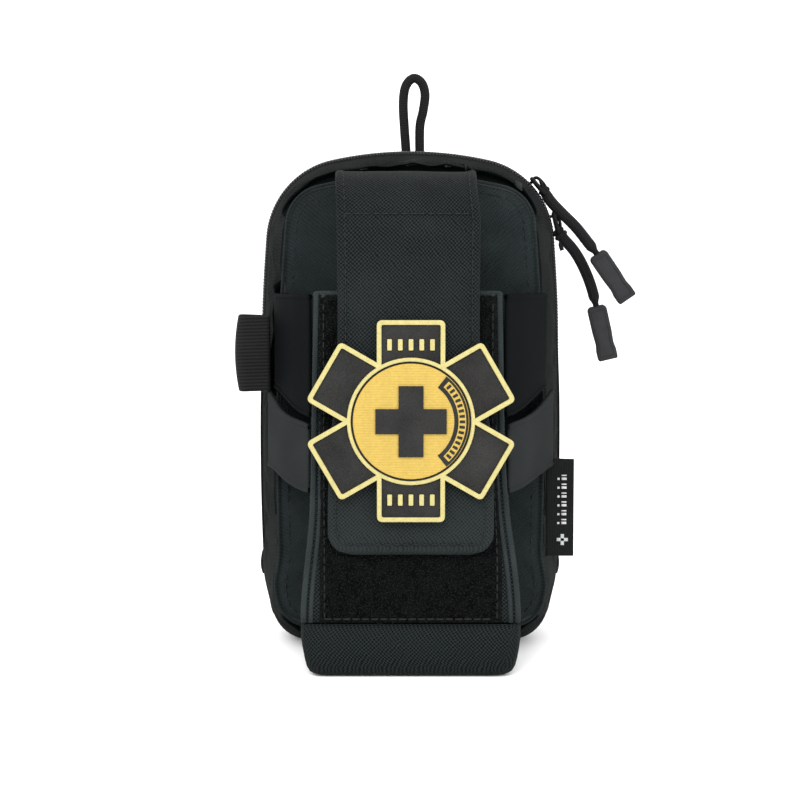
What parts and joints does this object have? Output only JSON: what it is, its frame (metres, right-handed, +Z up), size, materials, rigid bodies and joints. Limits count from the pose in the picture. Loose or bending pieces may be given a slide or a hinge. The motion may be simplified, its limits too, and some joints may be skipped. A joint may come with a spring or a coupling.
{
  "type": "first-aid pouch with tourniquet holder",
  "caption": "Black zipped clamshell first-aid pouch with a flap-covered tourniquet holder, a star-shaped hook-and-loop patch, zip pulls and a hanging loop.",
  "frame": {"origin": "on the bottom of the pouch, under the zip plane, half way across", "axes": "+X to the viewer's right when the patch faces the viewer, +Y towards the back panel, +Z up"},
  "size_m": [0.145, 0.1022, 0.2084],
  "materials": {
    "cordura": "coarse woven nylon",
    "lining": "fine woven nylon",
    "webbing": "ribbed webbing",
    "hook_and_loop": "fuzzy loop pile",
    "mesh": "open net",
    "zip_coil": "satin",
    "board": "matte",
    "black_metal": "black satin",
    "rubber": "moulded matte",
    "cord": "braided sheath",
    "patch_field": "fine twill",
    "patch_gold": "satin stitched"
  },
  "bodies": {
    "back_half": {"back_shell": "cordura", "back_board": "board", "back_lining": "lining", "elastic_band_upper": "webbing", "elastic_band_lower": "webbing", "zip_tape_back": "webbing", "zip_chain_back": "zip_coil", "lower_gusset_back": "cordura", "zip_end_tab_left": "webbing", "zip_end_tab_right": "webbing", "webbing_row_upper": "webbing", "webbing_row_middle": "webbing", "webbing_row_lower": "webbing", "strap_header": "webbing", "snap_stud_left": "black_metal", "snap_stud_right": "black_metal"},
    "front_half": {"front_shell": "cordura", "front_lining": "lining", "mesh_pocket": "mesh", "mesh_pocket_binding": "webbing", "zip_tape_front": "webbing", "zip_chain_front": "zip_coil", "lower_gusset_front": "cordura", "holder_sleeve": "cordura", "holder_cup": "cordura", "loop_field": "hook_and_loop", "side_band_left": "cordura", "side_band_right": "cordura", "wing_left": "cordura", "wing_right": "cordura", "side_webbing_loop": "webbing", "side_label": "webbing"},
    "flap": {"flap_panel": "cordura", "flap_hook_strip": "hook_and_loop", "patch_loop_panel": "hook_and_loop"},
    "patch": {"patch_hook_backing": "hook_and_loop", "patch_base": "patch_field", "patch_border": "patch_gold", "patch_disc": "patch_gold", "patch_emblem": "patch_field"},
    "slider_upper": {"slider_upper_body": "black_metal", "slider_upper_bridge": "black_metal"},
    "slider_lower": {"slider_lower_body": "black_metal", "slider_lower_bridge": "black_metal"},
    "pull_upper": {"pull_upper_ring": "black_metal", "pull_upper_cord": "cord", "pull_upper_grip": "rubber"},
    "pull_lower": {"pull_lower_ring": "black_metal", "pull_lower_cord": "cord", "pull_lower_grip": "rubber"},
    "cord_loop": {"hanging_loop": "cord"},
    "back_strap_left": {"strap_left": "webbing", "strap_snap_left": "black_metal"},
    "back_strap_right": {"strap_right": "webbing", "strap_snap_right": "black_metal"}
  },
  "joints": [
    {"name": "clamshell_hinge", "type": "hinge", "parent": "back_half", "child": "front_half", "pos_m": [0, -0.002, 0], "axis": [1, 0, 0], "range_deg": [0, 100]},
    {"name": "flap_lift", "type": "hinge", "parent": "front_half", "child": "flap", "pos_m": [0, -0.027, 0.1719], "axis": [-1, 0, 0], "range_deg": [0, 115]},
    {"name": "patch_pull_off", "type": "slide", "parent": "flap", "child": "patch", "axis": [0, -1, 0], "range_m": [0, 0.03]},
    {"name": "upper_slider_travel", "type": "hinge", "parent": "back_half", "child": "slider_upper", "pos_m": [0.02065, 0, 0.14482], "axis": [0, -1, 0], "range_deg": [0, 26]},
    {"name": "lower_slider_travel", "type": "hinge", "parent": "back_half", "child": "slider_lower", "pos_m": [-0.9436, 0, 0.072], "axis": [0, 1, 0], "range_deg": [0, 5.4]},
    {"name": "upper_pull_swing", "type": "hinge", "parent": "slider_upper", "child": "pull_upper", "pos_m": [0.04753, 0, 0.16939], "axis": [0, -1, 0], "range_deg": [0, 120]},
    {"name": "lower_pull_swing", "type": "hinge", "parent": "slider_lower", "child": "pull_lower", "pos_m": [0.0569, 0, 0.14825], "axis": [0, 1, 0], "range_deg": [0, 14]},
    {"name": "hanging_loop_flex", "type": "hinge", "parent": "back_half", "child": "cord_loop", "pos_m": [0, 0.008, 0.1822], "axis": [1, 0, 0], "range_deg": [-40, 40]},
    {"name": "left_strap_lift", "type": "hinge", "parent": "back_half", "child": "back_strap_left", "pos_m": [-0.022, 0.0271, 0.1505], "axis": [1, 0, 0], "range_deg": [0, 150]},
    {"name": "right_strap_lift", "type": "hinge", "parent": "back_half", "child": "back_strap_right", "pos_m": [0.022, 0.0271, 0.1505], "axis": [1, 0, 0], "range_deg": [0, 150]}
  ]
}
